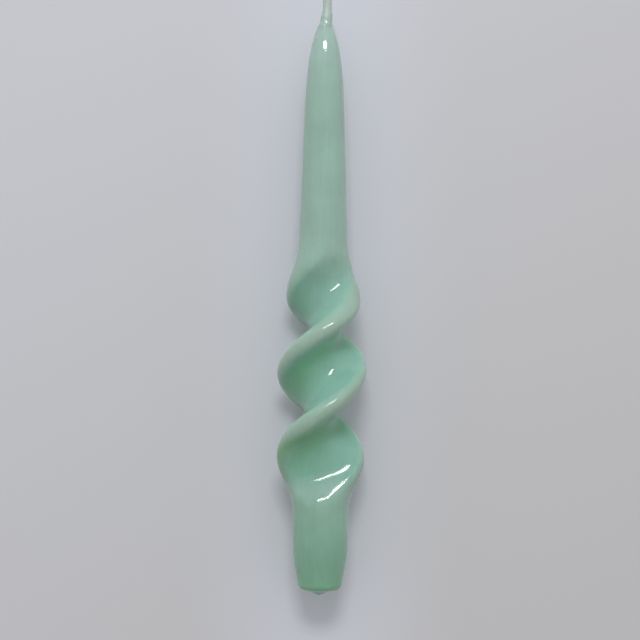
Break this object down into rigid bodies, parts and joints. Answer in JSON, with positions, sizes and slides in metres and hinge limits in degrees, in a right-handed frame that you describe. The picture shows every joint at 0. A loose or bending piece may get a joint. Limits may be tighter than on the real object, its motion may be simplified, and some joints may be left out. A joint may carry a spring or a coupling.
{
  "type": "twisted candle",
  "caption": "Dipped taper candle, pressed flat and wrung into a right-handed helix, with a plain tapered top, a waxed wick and a round end that stands in a holder.",
  "frame": {"origin": "on the candle's axis, half way up the straight round end that a holder's cup grips", "axes": "+Z along the candle towards the wick; -Y is the front, which the middle face of the twisted blade looks to; +X is to the right seen from the front"},
  "size_m": [0.0356, 0.0356, 0.2395],
  "materials": {
    "wick_cotton": "braided cotton",
    "priming_wax": "waxy, lumpy over the braid",
    "core_wax": "undyed wax, cloudy",
    "colour_wax": "dyed wax, satin",
    "gloss_wax": "hard glossy dip over dyed wax"
  },
  "bodies": {
    "root": {"wick": "wick_cotton", "wick_priming": "priming_wax", "wax_core": "core_wax", "colour_dip": "colour_wax", "gloss_dip": "gloss_wax"}
  },
  "joints": []
}
